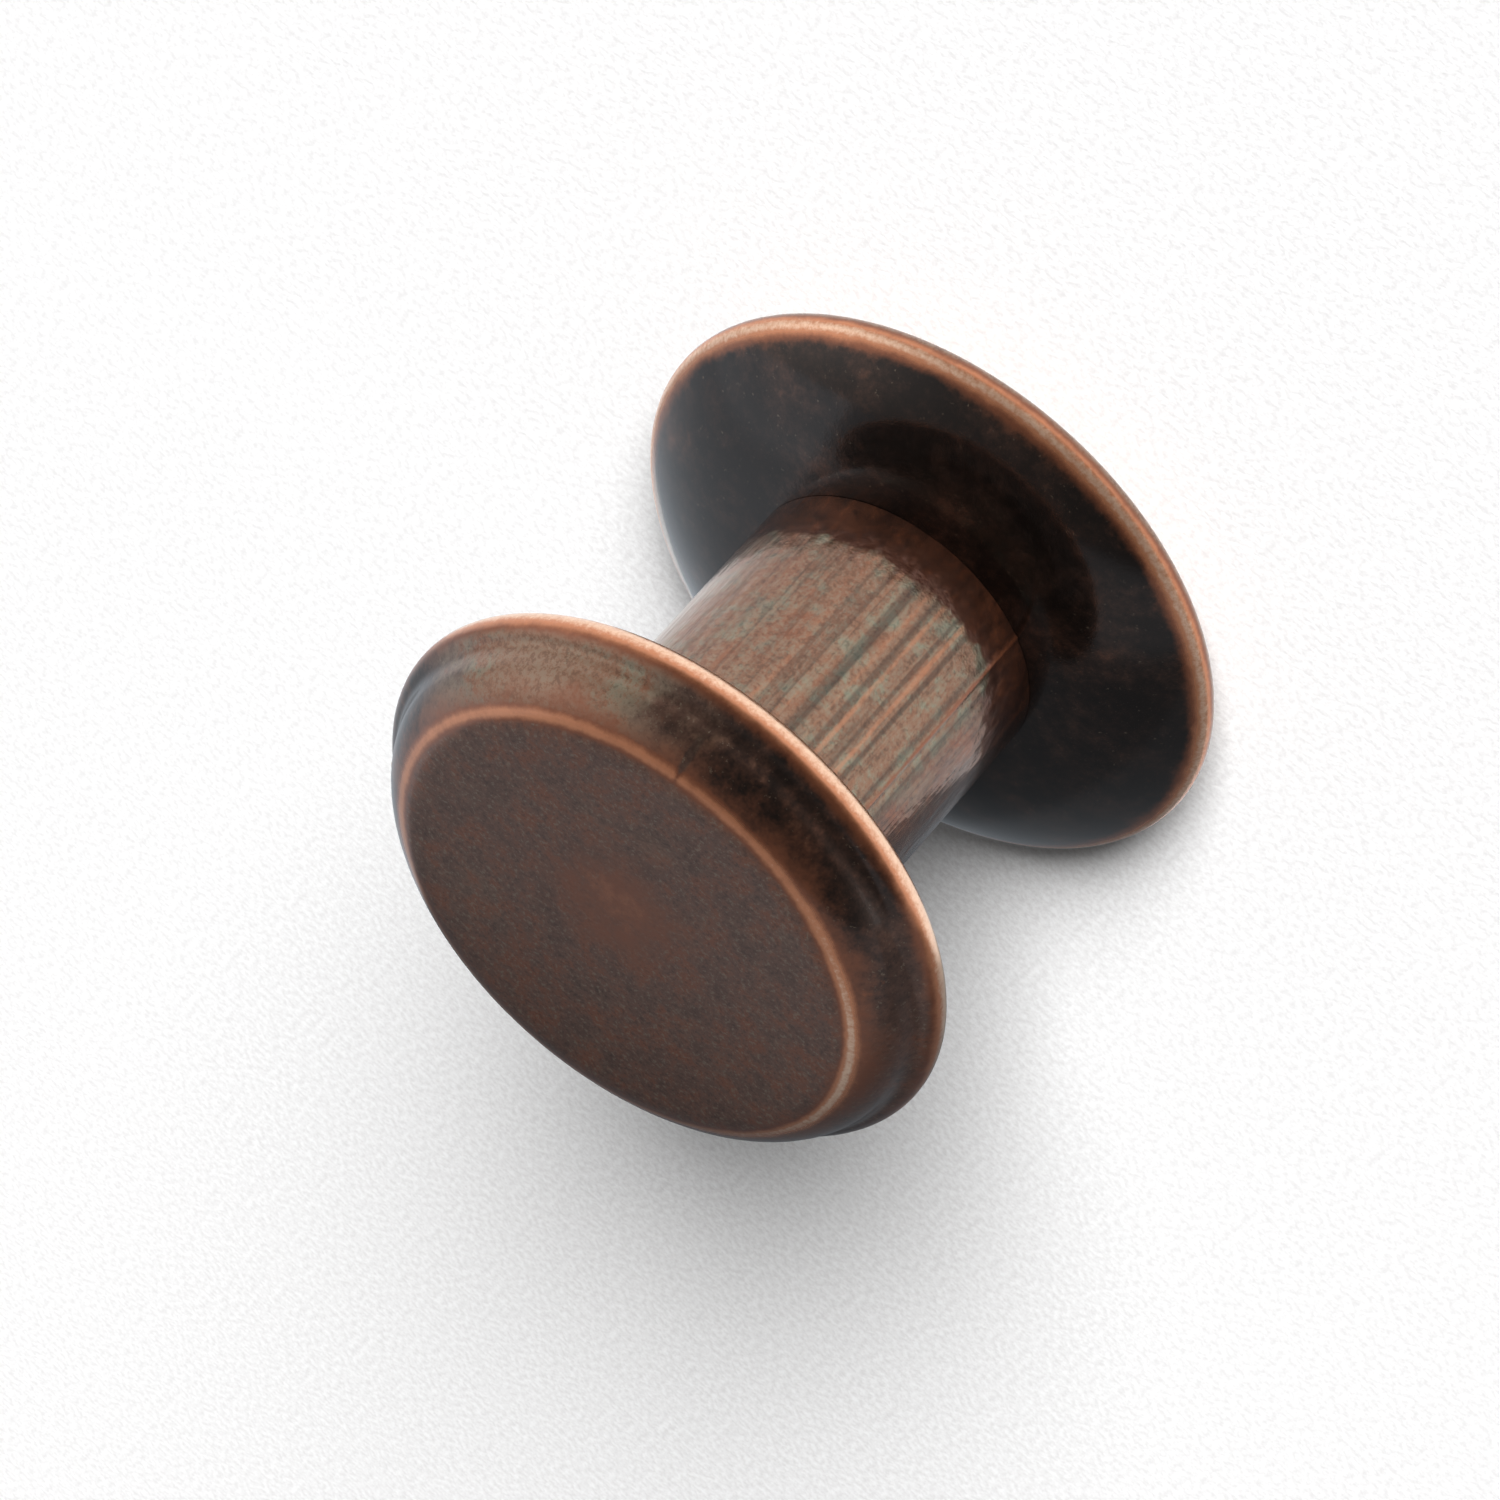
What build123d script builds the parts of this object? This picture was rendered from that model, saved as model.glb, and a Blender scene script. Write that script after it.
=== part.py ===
from build123d import *
from math import atan2, cos, degrees, radians, sin
import os

# A binding barrel screw in two castings. The barrel is a plain round head with a hollow
# post. The screw is a like head with a slot in its face and a shank that goes up the post.
# Millimetres, +Z along the axis. The screw head stands on its flat face, with the middle
# of that face at the origin, and the plain head of the barrel is on top.

# Both heads
head_radius = 4.75          # the barrel's plain head
screw_head_extra = 0.2      # the screw's head is this much larger, on the radius
shoulder_width = 1.25       # from the flat middle of the outer face to the plain head's rim
crown_rise = 0.925          # from the middle of the rim's edge to the flat
crown_edge_radius = 1.0     # rounding from the flat into the shoulder
crown_edge_slope = 50.0     # degrees, how steep that rounding gets
rim_thickness = 0.44        # the rim's edge is a full round
rim_face_slope = 26.0       # degrees, slope of the hollow shoulder where it meets the rim
underside_rise = 1.03       # from the middle of the rim's edge to the foot of the post
underside_edge_slope = 38.0  # degrees, slope of the domed underside where it meets the rim

# Barrel
grip_length = 5.17          # post between the two heads
post_wall = 0.6
post_root_fillet = 0.15
post_edge_chamfer = 0.06    # outer edge of the open end
post_mouth_chamfer = 0.25   # lead-in for the screw
head_wall = 1.025           # metal left between the bore's end and the flat
bore_end_chamfer = 0.3      # taper of the core pin's tip

# Screw
shank_radius = 1.8          # effective radius of the M4 thread
shank_tip_chamfer = 0.45
bore_end_room = 1.2         # space left past the shank's tip
slot_width = 1.1
slot_depth = 0.65

# Fits
thread_clearance = 0.05     # shank to bore, on the radius
seat_land = 0.1             # the screw's flat seat is this much wider than the post

# What is left of the casting gates on the rims
gate_radius = 0.12
gate_proud = 0.09
barrel_gate_angle = 32.0    # degrees round from +X
screw_gate_angle = 204.0

# Radii that follow
flat_radius = head_radius - shoulder_width
screw_head_radius = head_radius + screw_head_extra
bore_radius = shank_radius + thread_clearance
post_radius = bore_radius + post_wall

# Levels up the axis
screw_rim_z = crown_rise
seat_z = screw_rim_z + underside_rise
barrel_root_z = seat_z + grip_length
barrel_rim_z = barrel_root_z + underside_rise
top_z = barrel_rim_z + crown_rise
bore_end_z = top_z - head_wall
shank_end_z = bore_end_z - bore_end_room


def slope_vector(slope):
    """Unit step outwards and down a surface that falls at this many degrees."""
    return (cos(radians(slope)), -sin(radians(slope)))


def head_profile(rim_radius, core_radius):
    """Half section of a round head, outer face up, with the rim's edge at height 0.

    The outer face is a flat, a rounded crown edge and a hollow shoulder down to the rim.
    The underside is a dome that falls from the core, where a post or shank joins, to the rim.
    """
    rim = rim_thickness / 2
    rim_centre = rim_radius - rim

    def on_rim(angle):
        """Point on the round edge, with the angle in degrees from straight up, outwards."""
        return (rim_centre + rim * sin(radians(angle)), rim * cos(radians(angle)))

    crown_centre = (flat_radius, crown_rise - crown_edge_radius)
    crown_end = (
        crown_centre[0] + crown_edge_radius * sin(radians(crown_edge_slope)),
        crown_centre[1] + crown_edge_radius * cos(radians(crown_edge_slope)),
    )
    rim_face = on_rim(rim_face_slope)
    rim_under = on_rim(180 - underside_edge_slope)
    core = (core_radius, -underside_rise)
    # A round arc leaves the core at the slope that brings it to the rim at the stated one.
    chord_slope = degrees(atan2(rim_under[1] - core[1], rim_under[0] - core[0]))
    core_slope = 2 * chord_slope - underside_edge_slope

    with BuildSketch() as head:
        with BuildLine():
            Polyline(core, (0, -underside_rise), (0, crown_rise), (flat_radius, crown_rise))
            CenterArc(crown_centre, crown_edge_radius, 90, -crown_edge_slope)
            Spline(
                crown_end,
                rim_face,
                tangents=(slope_vector(crown_edge_slope), slope_vector(rim_face_slope)),
            )
            ThreePointArc(rim_face, on_rim(90), rim_under)
            TangentArc(core, rim_under, tangent=slope_vector(-core_slope))
        make_face()
    return head.sketch


def bar_profile(radius, low_z, high_z):
    """Half section of a round bar or bore between two levels."""
    return Pos(0, low_z) * Rectangle(radius, high_z - low_z, align=Align.MIN)


def corner(profile, radius, z):
    """The corner of a half section nearest to this radius and level."""
    return profile.vertices().sort_by_distance((radius, z, 0))[0]


def turned(profile):
    """The solid that a half section makes about the axis."""
    return revolve(Plane.XZ * profile, axis=Axis.Z)


def gate_stub(rim_radius, angle):
    """The stub of a casting gate, a short round peg that stands out of the rim."""
    length = rim_thickness + gate_proud
    peg = Cylinder(gate_radius, length, align=(Align.CENTER, Align.CENTER, Align.MAX))
    return Rot(0, 0, angle) * Pos(rim_radius + gate_proud, 0, 0) * Rot(0, 90, 0) * peg


def make_barrel():
    """The plain head with its hollow post, open at the bottom."""
    outside = Pos(0, barrel_rim_z) * head_profile(head_radius, post_radius)
    outside += bar_profile(post_radius, seat_z, barrel_root_z)
    outside = fillet(corner(outside, post_radius, barrel_root_z), post_root_fillet)
    outside = chamfer(corner(outside, post_radius, seat_z), post_edge_chamfer)
    bore = bar_profile(bore_radius, seat_z, bore_end_z)
    bore = chamfer(corner(bore, bore_radius, bore_end_z), bore_end_chamfer)
    wall = outside - bore
    wall = chamfer(corner(wall, bore_radius, seat_z), post_mouth_chamfer)
    gate = Pos(0, 0, barrel_rim_z) * gate_stub(head_radius, barrel_gate_angle)
    return turned(wall) + gate


def make_screw():
    """The slotted head, standing on its face, with its shank."""
    head = head_profile(screw_head_radius, post_radius + seat_land)
    head = Pos(0, screw_rim_z) * mirror(head, about=Plane.XZ)
    shank = bar_profile(shank_radius, seat_z, shank_end_z)
    shank = chamfer(corner(shank, shank_radius, shank_end_z), shank_tip_chamfer)
    gate = Pos(0, 0, screw_rim_z) * gate_stub(screw_head_radius, screw_gate_angle)
    slot = Box(
        2 * screw_head_radius, slot_width, slot_depth, align=(Align.CENTER, Align.CENTER, Align.MIN)
    )
    return turned(head + shank) + gate - slot


parts = {"plain_barrel": make_barrel(), "slotted_screw": make_screw()}

os.makedirs("parts", exist_ok=True)
for name, solid in parts.items():
    export_step(solid, f"parts/{name}.step")
    print(name, round(solid.volume, 3), "mm3")
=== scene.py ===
import bmesh
import bpy
import numpy as np
from mathutils import Matrix, Vector


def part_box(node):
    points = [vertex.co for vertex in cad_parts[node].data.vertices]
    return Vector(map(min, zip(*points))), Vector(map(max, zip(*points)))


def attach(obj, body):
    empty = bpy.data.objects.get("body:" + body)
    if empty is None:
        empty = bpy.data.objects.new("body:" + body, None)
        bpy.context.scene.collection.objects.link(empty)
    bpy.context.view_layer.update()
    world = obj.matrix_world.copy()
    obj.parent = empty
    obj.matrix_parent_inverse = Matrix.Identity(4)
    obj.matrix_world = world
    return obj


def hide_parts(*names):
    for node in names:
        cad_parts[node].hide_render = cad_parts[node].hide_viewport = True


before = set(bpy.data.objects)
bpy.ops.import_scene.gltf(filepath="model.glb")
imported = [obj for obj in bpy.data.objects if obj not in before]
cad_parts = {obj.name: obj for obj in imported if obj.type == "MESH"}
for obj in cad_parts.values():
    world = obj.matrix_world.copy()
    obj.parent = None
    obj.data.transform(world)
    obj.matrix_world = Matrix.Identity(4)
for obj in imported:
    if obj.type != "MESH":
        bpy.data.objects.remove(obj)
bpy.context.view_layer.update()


# The slotted screw. A zinc die casting, tumbled, copper plated, blackened, rubbed back to
# bright copper at its edges and lacquered. It stands on its slotted head, and its threaded
# shank goes up inside the barrel's post.

mm = 0.001
screw_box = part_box("slotted_screw")
barrel_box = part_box("plain_barrel")
screw_head_radius = screw_box[1].x / mm
screw_rim_z = 0.925          # height of the middle of the rim's edge above the face
shank_end_z = screw_box[1].z / mm
seat_z = barrel_box[0].z / mm
seat_radius = 2.55

shoulder_width = 1.25        # from the flat to the plain head's rim
screw_head_extra = 0.2
crown_edge_radius = 1.0
crown_edge_slope = 50.0      # degrees
rim_thickness = 0.44
rim_face_slope = 26.0
underside_rise = 1.03
underside_edge_slope = 38.0

slot_half_width = 0.55
slot_wall_run = 0.13         # sideways run of the slot's drafted and rounded wall
slot_depth = 0.65
slot_lip = 0.04              # rounding where the slot's floor runs out through the shoulder
chord_points = 171           # mesh points along each chord of the face
screw_columns = 312          # mesh columns round the axis

thread_pitch = 0.7
thread_root = 1.57           # external thread of an M4 screw, root and crest radius
thread_crest = 1.97
thread_gap = 0.05            # from the external to the internal thread, on the radius
thread_runout = 0.35
shank_tip_chamfer = 0.45
thread_rows = 14             # mesh rows to a pitch


def round_arc(centre, radius, start, end, count):
    """Points on a circle. Each is the centre plus the radius times the sine and the cosine
    of an angle in degrees, which is measured from straight up and goes outwards."""
    angle = np.radians(np.linspace(start, end, count))
    return np.column_stack((centre[0] + radius * np.sin(angle), centre[1] + radius * np.cos(angle)))


def hollow_curve(start, end, start_slope, end_slope, count):
    """Points on a cubic Hermite curve. It leaves the start and reaches the end at the given
    falling slopes in degrees, and both end speeds are the distance between the two points."""
    start, end = np.array(start), np.array(end)
    reach = np.linalg.norm(end - start)
    slopes = np.radians((start_slope, end_slope))
    leave, meet = reach * np.column_stack((np.cos(slopes), -np.sin(slopes)))
    t = np.linspace(0, 1, count)[:, None]
    return (
        (2 * t**3 - 3 * t**2 + 1) * start + (t**3 - 2 * t**2 + t) * leave
        + (3 * t**2 - 2 * t**3) * end + (t**3 - t**2) * meet
    )


def domed_curve(start, end, start_heading, count):
    """Points on the round arc between two points that leaves the first at a heading in
    degrees. The heading turns evenly, by twice the angle between it and the chord, and a
    point is the start plus the radius times the change of the heading's sine and cosine."""
    chord = np.subtract(end, start)
    chord_heading = np.degrees(np.arctan2(chord[1], chord[0])) % 360
    half_turn = np.radians(chord_heading - start_heading)
    radius = np.hypot(*chord) / (2 * np.sin(half_turn))
    heading = np.radians(start_heading) + np.linspace(0, 2 * half_turn, count)
    return np.column_stack((
        start[0] + radius * (np.sin(heading) - np.sin(heading[0])),
        start[1] - radius * (np.cos(heading) - np.cos(heading[0])),
    ))


def head_profile(
    rim_radius, flat_radius, core_radius, rise, drop, edge, crown_slope, underside_slope
):
    """Half section of a head as rows of radius and height, face up, with the middle of the
    rim's edge at height 0. It runs out along the flat, which lies the rise above that, round
    the crown edge, down the hollow shoulder, round the rim's edge, a round of radius edge,
    and in along the domed underside to the core, which lies the drop below. Returned in two
    parts, which meet at the rim's edge: the face and the underside."""
    flat_rows, crown_rows, shoulder_rows, edge_rows, dome_rows = 16, 18, 16, 12, 24
    rim_centre = (rim_radius - edge, 0)
    crown_centre = (flat_radius, rise - crown_edge_radius)
    flat = np.column_stack((
        flat_radius * np.sin(np.linspace(0, np.pi / 2, flat_rows)), np.full(flat_rows, rise)
    ))
    crown = round_arc(crown_centre, crown_edge_radius, 0, crown_slope, crown_rows)
    edge_face = round_arc(rim_centre, edge, rim_face_slope, 90, edge_rows)
    edge_under = round_arc(rim_centre, edge, 90, 180 - underside_slope, edge_rows)
    shoulder = hollow_curve(
        crown[-1], edge_face[0], crown_slope, rim_face_slope, shoulder_rows
    )
    dome = domed_curve(
        edge_under[-1], (core_radius, -drop), 180 + underside_slope, dome_rows
    )
    face = np.vstack((flat, crown[1:], shoulder[1:], edge_face[1:]))
    under = np.vstack((edge_under, dome[1:]))
    return face, under


def crowded_azimuths(count, places, width, gain):
    """Azimuths in degrees all the way round, closer together at the given places. They are
    evenly spaced on the running total of a density, which is 1 plus the gain times a bell
    curve of the given width at each place."""
    fine = np.linspace(0, 360, 7201)
    away = (fine[:, None] - np.array(places) + 180) % 360 - 180
    total = np.cumsum(1 + gain * np.exp(-(away / width) ** 2).sum(1))
    return np.interp(np.linspace(total[0], total[-1], count + 1)[:-1], total, fine)


def bell(distance, width):
    """A bump of height 1 that falls off with distance, as a Gaussian of that width."""
    return np.exp(-(distance / width) ** 2)


def ramp(value, low, high):
    """A smooth step from 0 at low to 1 at high: 3 times the share squared less twice its cube."""
    share = np.clip((value - low) / (high - low), 0, 1)
    return share * share * (3 - 2 * share)


def azimuth_gap(azimuth, place):
    """Degrees from a place to each azimuth, the short way round."""
    return (azimuth - place + 180) % 360 - 180


def thread_height(radius_low, radius_high, z, azimuth):
    """Radius of a right-handed thread. Its section is a triangle wave of height along the
    axis, moved up one pitch for each turn, and cut flat at the crest and at the root."""
    phase = (z / thread_pitch - azimuth / 360) % 1
    wave = np.clip(0.5 + 1.35 * (np.abs(2 * phase - 1) - 0.5), 0, 1)
    return radius_low + (radius_high - radius_low) * wave


def grid_quads(rows, columns, first, closed):
    """Corner numbers of the quads of a grid of points, row by row. A closed grid also joins
    its last column to its first."""
    across = np.arange(columns if closed else columns - 1)
    a = first + np.arange(rows - 1)[:, None] * columns + across
    b = first + np.arange(rows - 1)[:, None] * columns + (across + 1) % columns
    return np.stack((a, b, b + columns, a + columns), -1).reshape(-1, 4)


def cast_piece(name, grids):
    """One closed, smooth mesh from grids of points in millimetres. Points that two grids or
    the ends of a pole share are merged, and the faces are turned outwards."""
    points, quads = [], []
    for grid, closed in grids:
        quads.append(grid_quads(grid.shape[0], grid.shape[1], sum(len(p) for p in points), closed))
        points.append(grid.reshape(-1, 3))
    mesh = bpy.data.meshes.new(name)
    mesh.from_pydata((np.vstack(points) * mm).tolist(), [], np.vstack(quads).tolist())
    shell = bmesh.new()
    shell.from_mesh(mesh)
    bmesh.ops.remove_doubles(shell, verts=shell.verts, dist=2e-4 * mm)
    bmesh.ops.recalc_face_normals(shell, faces=shell.faces)
    shell.to_mesh(mesh)
    shell.free()
    mesh.polygons.foreach_set("use_smooth", np.ones(len(mesh.polygons), bool))
    piece = bpy.data.objects.new(name, mesh)
    bpy.context.scene.collection.objects.link(piece)
    return piece


def mesh_points(piece):
    """The mesh's points in millimetres, as radius, azimuth in degrees and height."""
    flat = np.empty(len(piece.data.vertices) * 3, np.float32)
    piece.data.vertices.foreach_get("co", flat)
    x, y, z = flat.reshape(-1, 3).T / mm
    return np.hypot(x, y), np.degrees(np.arctan2(y, x)) % 360, z


def paint(piece, name, values):
    """Keeps one number for each point of the mesh, for the material to read."""
    number = piece.data.attributes.new(name, "FLOAT", "POINT")
    number.data.foreach_set("value", values.astype(np.float32))


def slotted_face(azimuths, face):
    """The face of the screw's head as a grid, with the slot across it. Each row is a chord
    at the height y that an azimuth has on the rim, and the points along it crowd towards
    the rim as a sine does. Height is the head's profile at the point's radius, and inside
    the slot it goes down to the floor by the share that the slot's wall has at that y."""
    half = np.radians(azimuths[(azimuths >= -90) & (azimuths <= 90)])
    y = screw_head_radius * np.sin(half)[:, None]
    along = np.sin(np.linspace(-np.pi / 2, np.pi / 2, chord_points))
    x = screw_head_radius * np.cos(half)[:, None] * along
    y = np.broadcast_to(y, x.shape)
    height = np.interp(np.hypot(x, y), face[:, 0], face[:, 1])
    floor = screw_rim_z - slot_depth
    lowered = -slot_lip * np.logaddexp(-height / slot_lip, -floor / slot_lip)
    wall_low, wall_high = slot_half_width - slot_wall_run / 2, slot_half_width + slot_wall_run / 2
    inside = ramp(-np.abs(y), -wall_high, -wall_low)
    on_rim = np.hypot(x, y) > screw_head_radius - 1e-6
    height = np.where(on_rim, 0, height + inside * (np.minimum(lowered, height) - height))
    return np.stack((x, y, screw_rim_z - height), -1)


slot_edge = np.degrees(np.arcsin(slot_half_width / screw_head_radius))
slot_places = (slot_edge, 180 - slot_edge, 180 + slot_edge, 360 - slot_edge)
quarter = crowded_azimuths(screw_columns, slot_places, 1.0, 7.0)
quarter = quarter[(quarter > 0) & (quarter < 90)]
right_half = np.concatenate((-quarter[::-1], (0.0,), quarter))
screw_azimuths = np.concatenate((right_half, (90.0,), right_half + 180, (270.0,)))
chord_azimuths = np.concatenate(((-90.0,), right_half, (90.0,)))

face, under = head_profile(
    screw_head_radius, screw_head_radius - shoulder_width - screw_head_extra, seat_radius,
    screw_rim_z, underside_rise, rim_thickness / 2, crown_edge_slope, underside_edge_slope
)
growing = np.concatenate(([True], np.diff(face[:, 0]) > 1e-9))
face_grid = slotted_face(chord_azimuths, face[growing])

thread_low_z = seat_z + thread_runout
thread_high_z = shank_end_z - shank_tip_chamfer
shank_z = np.arange(seat_z + 0.02, shank_end_z, thread_pitch / thread_rows)
shank_fade = ramp(shank_z, seat_z, thread_low_z) * ramp(-shank_z, -shank_end_z, -thread_high_z)
shank_r = thread_root + shank_fade[:, None] * (
    thread_height(thread_root, thread_crest, shank_z[:, None], screw_azimuths) - thread_root
)
tip = np.array(((thread_root - 0.12, shank_end_z), (0.7, shank_end_z), (0.0, shank_end_z)))
rows_r = np.vstack((
    np.repeat(under[:, :1], len(screw_azimuths), 1),
    np.full((1, len(screw_azimuths)), thread_root + 0.1),
    shank_r,
    np.repeat(tip[:, :1], len(screw_azimuths), 1),
))
rows_z = np.concatenate((screw_rim_z - under[:, 1], (seat_z,), shank_z, tip[:, 1]))
turn = np.radians(screw_azimuths)
body_grid = np.stack((
    rows_r * np.cos(turn), rows_r * np.sin(turn), np.repeat(rows_z[:, None], len(turn), 1)
), -1)
screw = cast_piece("Slotted_Screw", [(face_grid, False), (body_grid, True)])


def linear(code):
    """An sRGB hex colour as a linear one: each part to the power 2.4 after its offset."""
    parts = np.array([int(code[i:i + 2], 16) / 255 for i in (1, 3, 5)])
    low = parts / 12.92
    return tuple(np.where(parts <= 0.04045, low, ((parts + 0.055) / 1.055) ** 2.4)) + (1.0,)


def add_node(tree, kind, links=(), **settings):
    """Adds a node with its settings. A link is the name or number of one of its inputs and
    what goes in: another node's output, or a value for the input's own socket."""
    node = tree.nodes.new("ShaderNode" + kind)
    for key, value in settings.items():
        setattr(node, key, value)
    for socket, source in links:
        if isinstance(source, bpy.types.NodeSocket):
            tree.links.new(source, node.inputs[socket])
        else:
            node.inputs[socket].default_value = source
    return node


copper_bare = "#f2cdb0"
copper_bright = "#c98560"
copper_dull = "#87523a"
rust = "#8c563c"
bronze = "#8c7b69"           # thin black over copper
patina_green = "#979882"
oxide_brown = "#775648"
# painted reflection: the screw head's black underside, as the foot of the post mirrors it
foot_reflection_brown = "#583629"
oxide_black = "#27201d"
oxide_share = 0.1            # part of the surface that scatters light as an oxide does
polished_roughness = 0.16
satin_roughness = 0.42
lacquer_weight = 0.6
lacquer_roughness = 0.09

# Each pattern: size in millimetres round the axis, times longer along it, detail, roughness.
# Real specks and drawn lines are down to a few hundredths of a millimetre. The grain and the
# streak are drawn coarser than that, so that they show.
finish_patterns = {
    "mottle": (1.3, 1.0, 5.0, 0.8),     # clouds in the black, down to grains of 0.04 mm
    "cloud": (0.42, 1.0, 5.0, 0.75),    # uneven tumbling, the size that the eye sees as mottling
    "grain": (0.09, 1.0, 2.0, 0.8),     # specks left by tumbling
    "patch": (0.32, 4.0, 4.0, 0.75),    # rusty patches on the post
    "streak": (0.1, 80.0, 2.0, 0.6),    # fine lines along the post
    "ripple": (0.2, 2.0, 1.0, 0.5),     # unevenness that breaks up what the post mirrors
}
# Numbers that each mesh carries: rub, where copper shows through, stronger on the barrel's
# shaded side as painted light; thin, where the black is thin, and green, the bloom, both raised
# on the barrel's shoulder as painted light and lowered past the post's parting line as painted
# shade; satin, how satin it is; drawn, the post; line, the lines down the post, dark above 0
# and rubbed below; and foot, a painted reflection of the screw head's black underside in the
# foot of the post.
# Each layer of colour: the number from the mesh and its weight, the pattern and its weight,
# the sums of the two where the layer starts and is full, its most, and its colour.
finish_layers = (
    ("thin", 1.0, "mottle", 0.8, 0.42, 0.92, 1.0, oxide_brown),
    ("thin", 1.0, "mottle", 0.8, 0.95, 1.35, 1.0, bronze),
    ("green", 1.0, "mottle", 0.8, 0.75, 1.25, 0.95, patina_green),
    ("thin", -0.1, "cloud", -1.0, -0.6, -0.36, 0.35, oxide_black),
    ("thin", 0.6, "cloud", 1.0, 0.8, 0.98, 0.75, copper_dull),
    ("thin", 0.1, "grain", -1.0, -0.42, -0.27, 0.35, oxide_black),
    ("thin", 0.25, "grain", 1.0, 0.67, 0.83, 0.6, bronze),
    ("drawn", 2.0, "patch", 1.0, 2.52, 2.68, 0.48, rust),
    ("drawn", 2.0, "patch", -1.0, 1.5, 1.66, 0.28, oxide_black),
    ("drawn", 2.0, "streak", -1.0, 1.49, 1.66, 0.32, oxide_black),
    ("line", 1.0, "patch", 1.2, 0.75, 1.5, 0.48, oxide_black),
    ("line", -1.0, "patch", 1.2, 0.75, 1.5, 0.4, copper_bright),
    # painted reflection: the dark band at the post's foot, mottled with rust brown
    ("foot", 1.0, "cloud", 1.2, 0.95, 1.2, 0.95, foot_reflection_brown),
    ("foot", 0.3, "cloud", 1.0, 0.74, 0.98, 0.75, rust),
    ("foot", 0.3, "patch", -1.0, -0.28, -0.08, 0.45, oxide_black),
    ("rub", 1.0, "mottle", 0.9, 0.5, 0.95, 1.0, copper_dull),
    ("rub", 1.0, "cloud", 0.7, 0.72, 1.2, 1.0, copper_bright),
    ("rub", 1.0, "grain", 0.5, 1.05, 1.45, 1.0, copper_bare),
)
finish_relief = (            # the number from the mesh, the pattern and its weight
    ("all", "grain", 0.12), ("thin", "grain", 0.4), ("drawn", "streak", 1.0),
    ("drawn", "ripple", 2.4),
)
relief_depth = 0.01          # millimetres, for a weight of 1


def antique_copper(name):
    """Blackened copper plate, rubbed at the edges and lacquered. The eye sees a dark brown
    satin metal with fine copper specks, bright worn edges and a clear gloss over it all.
    Each layer of colour lies over those before it, by a smooth step of its sum."""
    material = bpy.data.materials.new(name)
    material.use_nodes = True
    tree = material.node_tree
    tree.nodes.clear()
    place = add_node(tree, "TexCoord").outputs["Object"]
    numbers, patterns = {"all": 1.0}, {}
    for number in ("rub", "thin", "green", "satin", "drawn", "line", "foot"):
        numbers[number] = add_node(tree, "Attribute", attribute_name=number).outputs["Fac"]
    for pattern, (size, stretch, detail, roughness) in finish_patterns.items():
        scaled = add_node(tree, "Mapping", [
            ("Vector", place), ("Scale", (1 / mm / size, 1 / mm / size, 1 / mm / size / stretch)),
        ])
        patterns[pattern] = add_node(tree, "TexNoise", [
            ("Vector", scaled.outputs[0]), ("Scale", 1.0), ("Detail", detail),
            ("Roughness", roughness),
        ]).outputs["Fac"]

    surface = linear(oxide_black)
    for number, number_weight, pattern, weight, start, full, most, colour in finish_layers:
        total = add_node(tree, "Math", [
            (0, numbers[number]), (1, number_weight)
        ], operation="MULTIPLY")
        total = add_node(tree, "Math", [
            (0, patterns[pattern]), (1, weight), (2, total.outputs[0])
        ], operation="MULTIPLY_ADD")
        share = add_node(tree, "MapRange", [
            (0, total.outputs[0]), (1, start), (2, full), (4, most)
        ], interpolation_type="SMOOTHSTEP")
        surface = add_node(tree, "Mix", [
            (0, share.outputs[0]), (6, surface), (7, linear(colour))
        ], data_type="RGBA").outputs[2]

    relief = 0.0
    for number, pattern, weight in finish_relief:
        height = add_node(tree, "Math", [
            (0, patterns[pattern]), (1, numbers[number])
        ], operation="MULTIPLY")
        relief = add_node(tree, "Math", [
            (0, height.outputs[0]), (1, weight), (2, relief)
        ], operation="MULTIPLY_ADD").outputs[0]
    bump = add_node(tree, "Bump", [
        ("Height", relief), ("Strength", 0.6), ("Distance", relief_depth * mm)
    ])
    roughness = add_node(tree, "MapRange", [
        (0, numbers["satin"]), (3, polished_roughness), (4, satin_roughness)
    ])
    shader = add_node(tree, "BsdfPrincipled", [
        ("Base Color", surface),
        ("Metallic", 1.0 - oxide_share),
        ("Roughness", roughness.outputs[0]),
        ("Normal", bump.outputs[0]),
        ("Coat Weight", lacquer_weight),
        ("Coat Roughness", lacquer_roughness),
        ("Coat Normal", bump.outputs[0]),
    ])
    output = add_node(tree, "OutputMaterial")
    tree.links.new(shader.outputs[0], output.inputs[0])
    return material


ring_inset = 0.86            # from the rim in to the worn ring on the crown edge


def head_wear(radius, z, rim_radius, rim_z, edge, up):
    """Where a head is rubbed and how satin it is, for points of its section, with up 1 where
    its face looks up and -1 where it looks down. The ring is a bump in radius on the crown
    edge, sharper inside. The run is millimetres along the section from the middle of the
    rim's edge: the edge radius times the angle round it, or past the round edge the way out
    of the radius, and it is positive on the underside."""
    height = (z - rim_z) * up
    from_crown = radius - (rim_radius - ring_inset)
    ring = bell(from_crown, np.where(from_crown < 0, 0.12, 0.13))
    halo = 0.42 * bell(from_crown, np.where(from_crown < 0, 0.2, 0.42))
    ring = np.maximum(ring, halo) * ramp(height, 0.1, 0.35)
    on_flat = ramp(-from_crown, -0.2, 0.15) * ramp(height, 0.7, 0.8)
    centre = rim_radius - edge
    run = edge * np.arctan2(-height, np.maximum(radius - centre, 1e-6))
    run = np.where(radius < centre, np.sign(-height) * (edge * np.pi / 2 + centre - radius), run)
    return ring, on_flat, run


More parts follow.
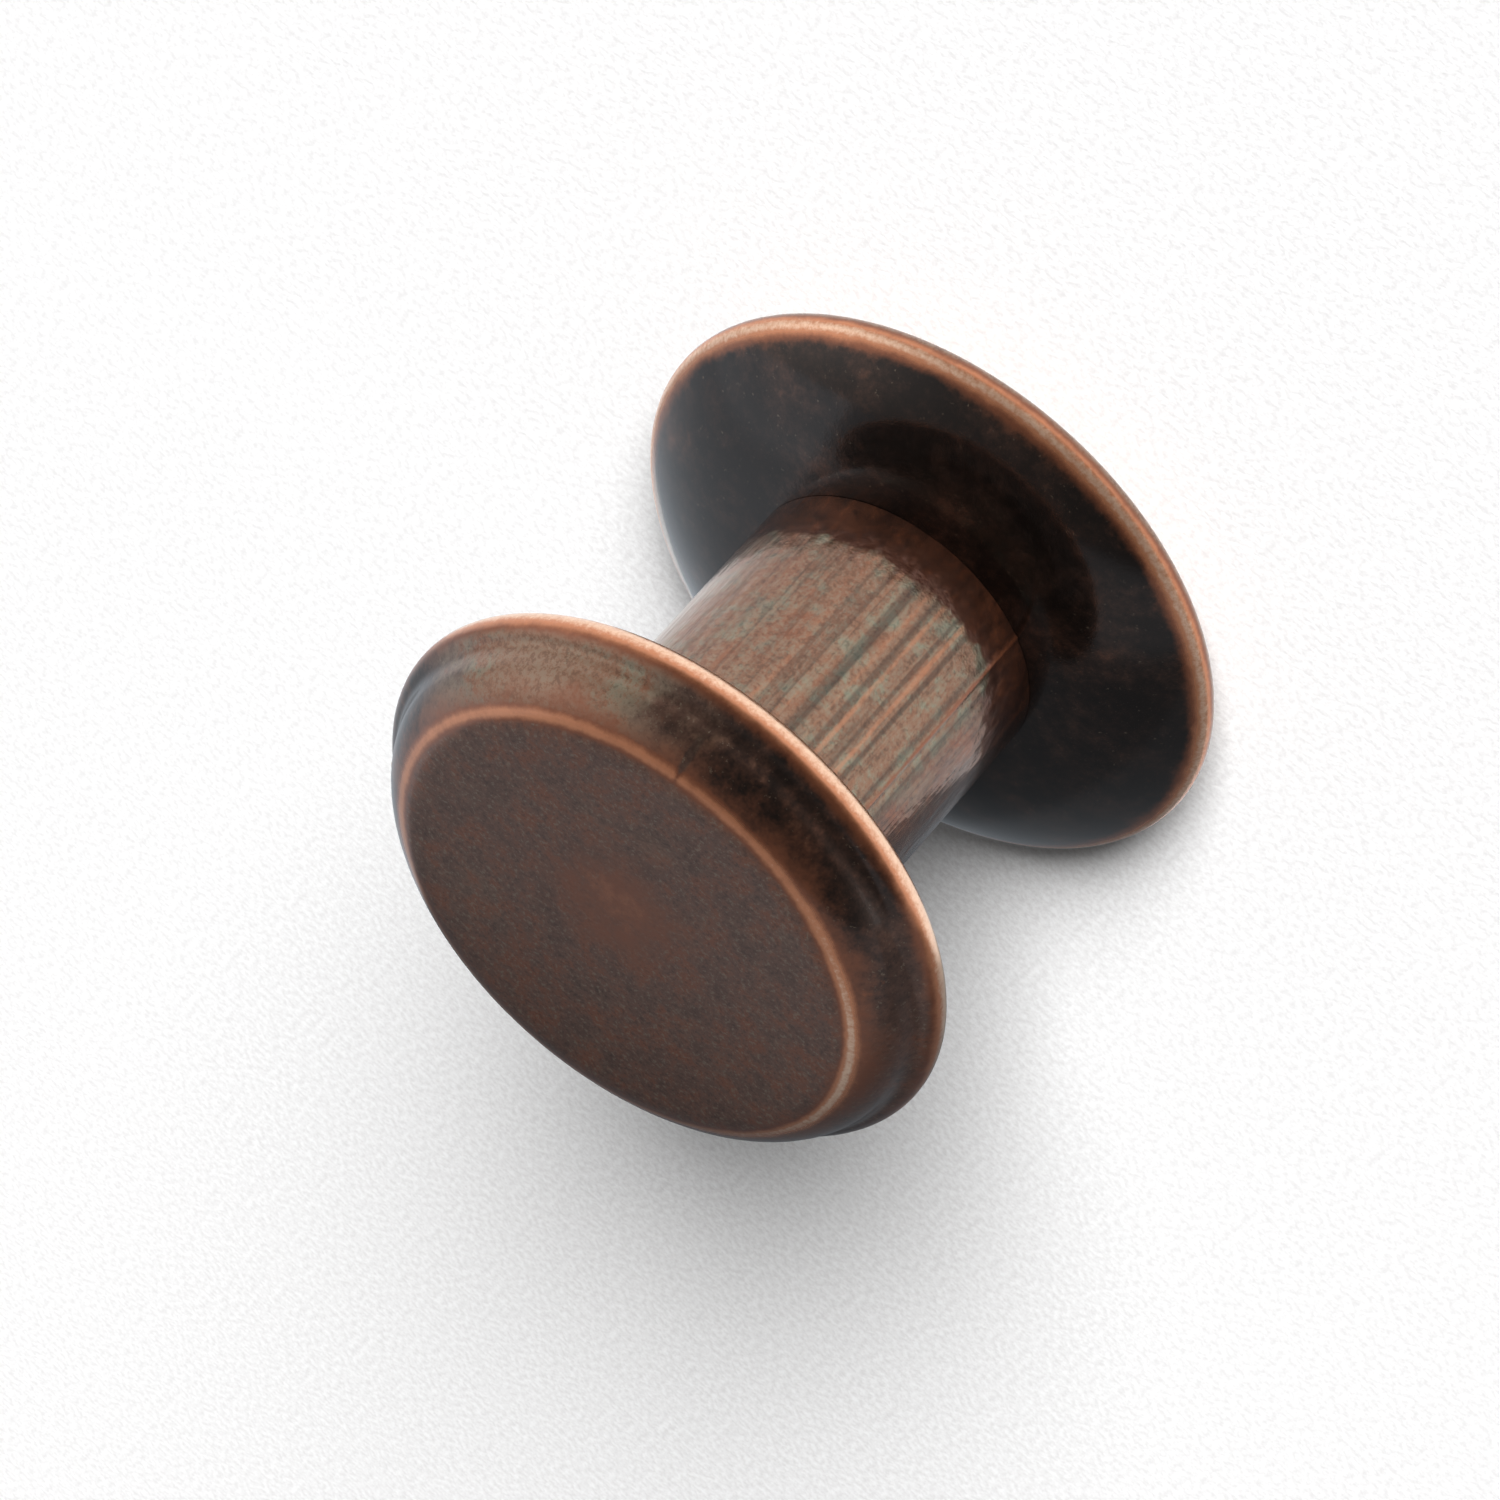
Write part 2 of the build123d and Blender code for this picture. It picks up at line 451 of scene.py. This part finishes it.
radius, azimuth, z = mesh_points(screw)
ring, on_flat, run = head_wear(radius, z, screw_head_radius, screw_rim_z, rim_thickness / 2, -1)
rim_line = bell(run - 0.15, 0.17)
outer_side = ramp(-run, -0.08, 0.04) * ramp(radius, 4.1, 4.4)
paint(screw, "rub", np.maximum(0.75 * ring, 1.05 * rim_line))
paint(screw, "thin", 0.95 * outer_side + 0.5 * on_flat + 0.1)
paint(screw, "green", outer_side)
paint(screw, "satin", np.maximum(on_flat, 0.8 - 0.72 * ramp(run, 0.1, 0.4)))
paint(screw, "drawn", np.zeros(len(z)))
paint(screw, "line", np.zeros(len(z)))
paint(screw, "foot", np.zeros(len(z)))
copper = antique_copper("Antique_Copper_Lacquered")
screw.data.materials.append(copper)
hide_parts("slotted_screw")
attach(screw, "screw")


# The plain barrel. A zinc die casting with the same finish as the screw: a round head, and
# a post that is tapped M4 inside. The post keeps the parting line and the fine lines along
# it that the mould left.

barrel_head_radius = barrel_box[1].x / mm
barrel_top_z = barrel_box[1].z / mm
barrel_crown_rise = 1.16     # this rim is thicker than the other head's and lies lower
barrel_rim_thickness = 0.6
barrel_crown_slope = 61
barrel_underside_slope = 26
barrel_rim_z = barrel_top_z - barrel_crown_rise
post_root_z = 7.125
post_radius = 2.45
post_root_fillet = 0.15
post_edge_round = 0.02
bore_radius = 1.85
post_mouth_chamfer = 0.25
bore_end_z = 8.055
bore_end_chamfer = 0.3

gate_azimuth = 32.0          # stub of the casting gate on the rim
gate_proud = 0.09
gate_radius = 0.12
parting_azimuth = 233.5      # parting line down the post
parting_proud = 0.02
step_azimuth = 278.0         # where the two halves of the mould don't quite meet
step_drop = 0.012
step_fade = 22               # degrees over which the step dies away
post_lines = (               # azimuth, width in degrees, and how dark, or below 0 how rubbed
    (228, 2.5, 0.8), (237, 1.6, 0.7), (244.5, 1.3, -0.45), (248.3, 1.3, 0.9), (251.5, 1.1, -0.9),
    (254.5, 1.1, 0.9), (261, 1.2, -0.8), (264, 1.2, 0.9), (267.4, 1.2, -0.5), (273, 2.2, 1.25),
    (279, 1.0, -0.35), (282, 1.0, 0.7), (289.5, 1.8, -0.35), (297, 1.5, 0.5), (304, 2.0, 0.4),
    (318.5, 2.5, 0.5),
)
nick_azimuth = 282.5         # small cut across the crown edge

barrel_columns = 340         # mesh columns round the axis, closer at the gate and the lines
lined_places = (220, 232, 244, 256, 268, 280, 292)
barrel_azimuths = crowded_azimuths(barrel_columns, (gate_azimuth, *lined_places), 8.0, 1.6)

face, under = head_profile(
    barrel_head_radius, barrel_head_radius - shoulder_width, post_radius + post_root_fillet,
    barrel_crown_rise, barrel_rim_z - post_root_z, barrel_rim_thickness / 2, barrel_crown_slope,
    barrel_underside_slope
)
under = under[under[:, 0] > post_radius + post_root_fillet]
root_centre = (post_radius + post_root_fillet, post_root_z - barrel_rim_z - post_root_fillet)
root = round_arc(root_centre, post_root_fillet, 0, -90, 7)
outside = np.vstack((face, under[1:], root))
outside[:, 1] += barrel_rim_z
post_z = np.linspace(post_root_z - post_root_fillet, seat_z + post_edge_round, 48)[1:]
post = np.column_stack((np.full(len(post_z), post_radius), post_z))
lip_centre = (post_radius - post_edge_round, seat_z + post_edge_round)
lip = round_arc(lip_centre, post_edge_round, 90, 180, 5)[1:]
outside = np.vstack((outside, post, lip))

bore_z = np.arange(seat_z, bore_end_z - bore_end_chamfer, thread_pitch / thread_rows)
turn = np.radians(barrel_azimuths)
rows_r = np.repeat(outside[:, :1], len(turn), 1)
rows_z = outside[:, 1]

on_post = ramp(-rows_z, -post_root_z, -post_root_z + 0.2)[:, None] * (rows_r > bore_radius + 0.3)
ridge = parting_proud * bell(azimuth_gap(barrel_azimuths, parting_azimuth), 1.3)
from_step = azimuth_gap(barrel_azimuths, step_azimuth)
step = -step_drop * ramp(from_step, -0.8, 0.8) * ramp(-from_step, -step_fade, 0)
rows_r = rows_r + on_post * (ridge + step)
gate_away = np.hypot(
    np.radians(azimuth_gap(barrel_azimuths, gate_azimuth)) * barrel_head_radius,
    (rows_z - barrel_rim_z)[:, None],
)
gate = 1 - ramp(gate_away, gate_radius * 0.6, gate_radius * 1.3)
at_rim = ramp(outside[:, 0], barrel_head_radius - 0.25, barrel_head_radius - 0.1)[:, None]
rows_r = rows_r + at_rim * gate_proud * gate

bore_fade = ramp(bore_z, seat_z, seat_z + thread_pitch)
bore_fade = bore_fade * ramp(-bore_z, -bore_z[-1], -bore_z[-1] + 0.4)
mouth = post_mouth_chamfer * (1 - ramp(bore_z, seat_z, seat_z + 0.35))
tapped_r = thread_height(
    thread_root + thread_gap, thread_crest + thread_gap, bore_z[:, None], barrel_azimuths
)
bore_r = bore_radius + mouth[:, None] + bore_fade[:, None] * (tapped_r - bore_radius)
core_tip = np.array((
    (bore_radius - bore_end_chamfer, bore_end_z), (0.8, bore_end_z), (0.0, bore_end_z)
))
rows_r = np.vstack((rows_r, bore_r, np.repeat(core_tip[:, :1], len(turn), 1)))
rows_z = np.concatenate((rows_z, bore_z, core_tip[:, 1]))
barrel_grid = np.stack((
    rows_r * np.cos(turn), rows_r * np.sin(turn), np.repeat(rows_z[:, None], len(turn), 1)
), -1)
barrel = cast_piece("Plain_Barrel", [(barrel_grid, True)])

radius, azimuth, z = mesh_points(barrel)
ring, on_flat, run = head_wear(
    radius, z, barrel_head_radius, barrel_rim_z, barrel_rim_thickness / 2, 1
)
rim_line = bell(run - 0.1, 0.28)
on_post = ramp(-z, -post_root_z, -post_root_z + 0.1)
on_post = on_post * ramp(-radius, -post_radius - 0.3, -post_radius - 0.1)
seam = bell(azimuth_gap(azimuth, parting_azimuth), 1.1) * on_post
# painted reflection: a dark band round the post's foot, where it mirrors the screw head's black
# underside; its top is higher on one side and it is stronger on another
foot_top = 2.75 + 0.4 * ramp(-azimuth, -236, -222)
foot = on_post * ramp(foot_top - z, -0.35, 0.35) * (1 + 0.4 * ramp(azimuth, 285, 305))
outer_side = ramp(z, barrel_rim_z - 0.1, barrel_rim_z + 0.05) * (1 - on_flat)
flank = bell(azimuth_gap(azimuth, 252), 24)      # the post is greenest here
# painted shade: the post is made darker past the parting line
limb_painted_shade = ramp(-azimuth, -232, -224)                # and darker past the parting line
painted_highlight_side = bell(azimuth_gap(azimuth, 319), 27)      # painted highlight: the shoulder is made palest here
lines = sum(depth * bell(azimuth_gap(azimuth, place), width) for place, width, depth in post_lines)
nick = 0.6 * bell(azimuth_gap(azimuth, nick_azimuth), 0.5) * bell(radius - 4.1, 0.25)
nick = nick * ramp(z, barrel_rim_z, barrel_rim_z + 0.3)
face_x, face_y = radius * np.cos(np.radians(azimuth)), radius * np.sin(np.radians(azimuth))
warm = bell(np.hypot(face_x - 0.3, face_y + 0.4), 1.2)   # worn patch at the face's middle
shade_side_painted_light = bell(azimuth_gap(azimuth, 190), 42)      # painted light: edges and shoulder are made brighter here, on the shaded side
# painted light: the worn ring and the rim are made brighter on the shaded side
edges = np.maximum((0.8 + 0.35 * shade_side_painted_light) * ring, (1.1 + 0.15 * shade_side_painted_light) * rim_line)
paint(barrel, "rub", edges + 0.45 * warm * on_flat + 0.45 * seam - nick)
# painted highlight: the shoulder is made paler and greener round its lit side, and also paler on
# its shaded side as painted light
head_thin = (0.1 + 0.84 * painted_highlight_side + 0.4 * shade_side_painted_light) * outer_side
paint(barrel, "thin", np.maximum(head_thin, (0.74 - 0.2 * limb_painted_shade) * on_post) + 0.56 * on_flat)
head_green = (0.3 + 0.5 * painted_highlight_side) * outer_side
paint(barrel, "green", on_post * (0.62 + 0.6 * flank - 0.35 * limb_painted_shade) + head_green)
head_satin = np.maximum(on_flat, (0.55 + 0.35 * painted_highlight_side) * outer_side)
edge_satin = np.maximum(0.6 * rim_line, 0.35 * on_post)
paint(barrel, "satin", np.maximum(head_satin, edge_satin))
paint(barrel, "drawn", on_post)
paint(barrel, "line", lines * on_post)
paint(barrel, "foot", foot)
barrel.data.materials.append(copper)
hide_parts("plain_barrel")
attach(barrel, "barrel")


# The camera. It looks down at the fastener from the photograph's angle, turned about its
# own line of sight so that the plain head comes towards the lower left.

camera_elevation = 34.087    # degrees
camera_roll = 221.89
camera_distance = 109.715 * mm
camera_lens = 183.08         # for a sensor of 36 mm
aim = Vector((0.338, -1.343, 6.170)) * mm

rise = np.radians(camera_elevation)
back = Vector((0, -np.cos(rise), np.sin(rise)))
camera = bpy.data.objects.new("Camera", bpy.data.cameras.new("Camera"))
bpy.context.scene.collection.objects.link(camera)
camera.data.lens = camera_lens
camera.data.sensor_width = 36
camera.data.clip_start = 0.005
camera.data.clip_end = 10
camera.location = aim + back * camera_distance
level = (-back).to_track_quat("-Z", "Y").to_matrix()
camera.rotation_euler = (level @ Matrix.Rotation(np.radians(camera_roll), 3, "Z")).to_euler()
bpy.context.scene.camera = camera


# The floor and the light. A sheet of white paper, lit by a soft tent that is bright on the
# right and dark overhead, and by one large lamp in front that throws the soft shadow. The
# metal also mirrors a card, in place of the paper that the real one lies on.

paper_white = "#fdfdfd"
paper_shade = "#e9e8e8"      # between the fibres
tooth_size = 0.12            # of the bumps in the paper, in millimetres
tooth_depth = 0.012
floor_half = 1.5             # metres
floor_mesh = bpy.data.meshes.new("Paper_Floor")
corners = ((-1, -1), (1, -1), (1, 1), (-1, 1))
floor_mesh.from_pydata([
    (x * floor_half, y * floor_half, 0) for x, y in corners
], [], [(0, 1, 2, 3)])
floor = bpy.data.objects.new("Paper_Floor", floor_mesh)
bpy.context.scene.collection.objects.link(floor)
# Uncoated white paper: matt, with a fine tooth that shows only where the light is low
paper = bpy.data.materials.new("White_Paper")
paper.use_nodes = True
tree = paper.node_tree
shader = tree.nodes["Principled BSDF"]
shader.inputs["Roughness"].default_value = 0.9
fibres = add_node(tree, "TexNoise", [
    ("Vector", add_node(tree, "TexCoord").outputs["Object"]),
    ("Scale", 1 / (tooth_size * mm)), ("Detail", 3.0), ("Roughness", 0.7),
]).outputs["Fac"]
shade = add_node(tree, "MapRange", [(0, fibres), (1, 0.35), (2, 0.65)])
sheet = add_node(tree, "Mix", [
    (0, shade.outputs[0]), (6, linear(paper_shade)), (7, linear(paper_white))
], data_type="RGBA")
tree.links.new(sheet.outputs[2], shader.inputs["Base Color"])
tooth = add_node(tree, "Bump", [
    ("Height", fibres), ("Strength", 0.6), ("Distance", tooth_depth * mm)
])
tree.links.new(tooth.outputs[0], shader.inputs["Normal"])
floor_mesh.materials.append(paper)


def heading(azimuth, elevation):
    """The direction with that azimuth and elevation in degrees."""
    a, e = np.radians((azimuth, elevation))
    return Vector((np.cos(e) * np.cos(a), np.cos(e) * np.sin(a), np.sin(e)))


key_from = heading(281, 21.5)
key_strength = 9.0
key_width = 28.0             # degrees, which makes the shadow's edge soft
key = bpy.data.objects.new("Key_Lamp", bpy.data.lights.new("Key_Lamp", "SUN"))
bpy.context.scene.collection.objects.link(key)
key.data.energy = key_strength
key.data.angle = np.radians(key_width)
key.location = key_from * 0.3
key.rotation_euler = key_from.to_track_quat("Z", "Y").to_euler()
key.visible_glossy = False   # lights the paper and leaves no highlight

card_azimuth = 116.7         # a card beside the fastener, which only the metal mirrors
card_away = 4.97             # just clear of the larger rim
card_half = 90.0
card_tint = (0.84, 0.92, 1.0, 1.0)
card_lit = 0.66
card_shade = 0.16            # between the heads, in the fastener's own shadow
# Each change of the card's light: what a millimetre along it and up it count for, what is
# added, the sums where the change starts and is full, and the light that it adds
card_changes = (
    (1.0, -0.62, 5.2, 5.5, 6.5, card_lit - card_shade),
    (-0.69, -1.0, 0.75, -0.4, 0.4, 0.06),
    (0.0, 1.0, 0.0, 9.5, 13.5, 0.24),
    (-0.5, 1.0, 0.0, 45.0, 95.0, -0.28),
)
card_mesh = bpy.data.meshes.new("Shaded_Card")
outward = np.array(heading(card_azimuth, 0))
along = np.array(heading(card_azimuth - 90, 0))
upward = np.array((0, 0, 1))
corners = ((-1, 0), (1, 0), (1, 1), (-1, 1))
card_mesh.from_pydata([
    tuple((outward * card_away + (along * x + upward * z) * card_half) * mm) for x, z in corners
], [], [(0, 1, 2, 3)])
card = bpy.data.objects.new("Shaded_Card", card_mesh)
bpy.context.scene.collection.objects.link(card)
# A card that glows, with painted light and painted shade in its glow: the metal shows it as a cool
# grey patch
shaded = bpy.data.materials.new("Half_Shaded_Card")
shaded.use_nodes = True
tree = shaded.node_tree
tree.nodes.clear()
place = add_node(tree, "TexCoord").outputs["Object"]
side = add_node(tree, "VectorMath", [
    (0, place), (1, along / mm)
], operation="DOT_PRODUCT").outputs["Value"]
height = add_node(tree, "SeparateXYZ", [(0, place)]).outputs["Z"]
height = add_node(tree, "Math", [(0, height), (1, 1 / mm)], operation="MULTIPLY").outputs[0]
light = card_shade
for side_weight, height_weight, offset, low, high, most in card_changes:
    total = add_node(tree, "Math", [
        (0, side), (1, side_weight), (2, offset)
    ], operation="MULTIPLY_ADD").outputs[0]
    total = add_node(tree, "Math", [
        (0, height), (1, height_weight), (2, total)
    ], operation="MULTIPLY_ADD").outputs[0]
    total = add_node(tree, "MapRange", [
        (0, total), (1, low), (2, high), (4, most)
    ], interpolation_type="SMOOTHSTEP").outputs[0]
    light = add_node(tree, "Math", [(0, light), (1, total)], operation="ADD").outputs[0]
emission = add_node(tree, "Emission", [("Color", card_tint), ("Strength", light)])
output = add_node(tree, "OutputMaterial")
tree.links.new(emission.outputs[0], output.inputs[0])
card_mesh.materials.append(shaded)
card.visible_camera = False
card.visible_diffuse = False
card.visible_shadow = False

world = bpy.data.worlds.new("Tent")
bpy.context.scene.world = world
world.use_nodes = True
tree = world.node_tree
tree.nodes.clear()
direction = add_node(tree, "TexCoord").outputs["Generated"]
tent_dark = 0.03
tent_fill = 0.09             # what the paper gets from all round
tent_glows = (               # azimuth, elevation, width in degrees, strength
    (5, 28, 32, 1.2),
    (0, 90, 35, 0.09),
    (195, 0, 20, 0.5),
)


def glow(azimuth, elevation, width, strength):
    """Light that falls off round a direction as a bell curve of the angle from it, worked
    out from the cosine of that angle."""
    share = add_node(tree, "VectorMath", [
        (0, direction), (1, heading(azimuth, elevation))
    ], operation="DOT_PRODUCT").outputs["Value"]
    share = add_node(tree, "Math", [(0, share), (1, 1.0)], operation="SUBTRACT").outputs[0]
    share = add_node(tree, "Math", [
        (0, share), (1, 2 / np.radians(width) ** 2)
    ], operation="MULTIPLY").outputs[0]
    share = add_node(tree, "Math", [(0, share)], operation="EXPONENT").outputs[0]
    return add_node(tree, "Math", [(0, share), (1, strength)], operation="MULTIPLY").outputs[0]


strength = tent_dark
for tent_glow in tent_glows:
    strength = add_node(tree, "Math", [
        (0, glow(*tent_glow)), (1, strength)
    ], operation="ADD").outputs[0]
rays = add_node(tree, "LightPath").outputs
strength = add_node(tree, "Mix", [
    (0, rays["Is Glossy Ray"]), (2, tent_fill), (3, strength)
]).outputs[0]
strength = add_node(tree, "Mix", [
    (0, rays["Is Camera Ray"]), (2, strength), (3, 1.0)
]).outputs[0]
tent = add_node(tree, "Background", [("Color", (1, 1, 1, 1)), ("Strength", strength)])
output = add_node(tree, "OutputWorld")
tree.links.new(tent.outputs[0], output.inputs[0])
bpy.context.scene.view_settings.view_transform = "Standard"
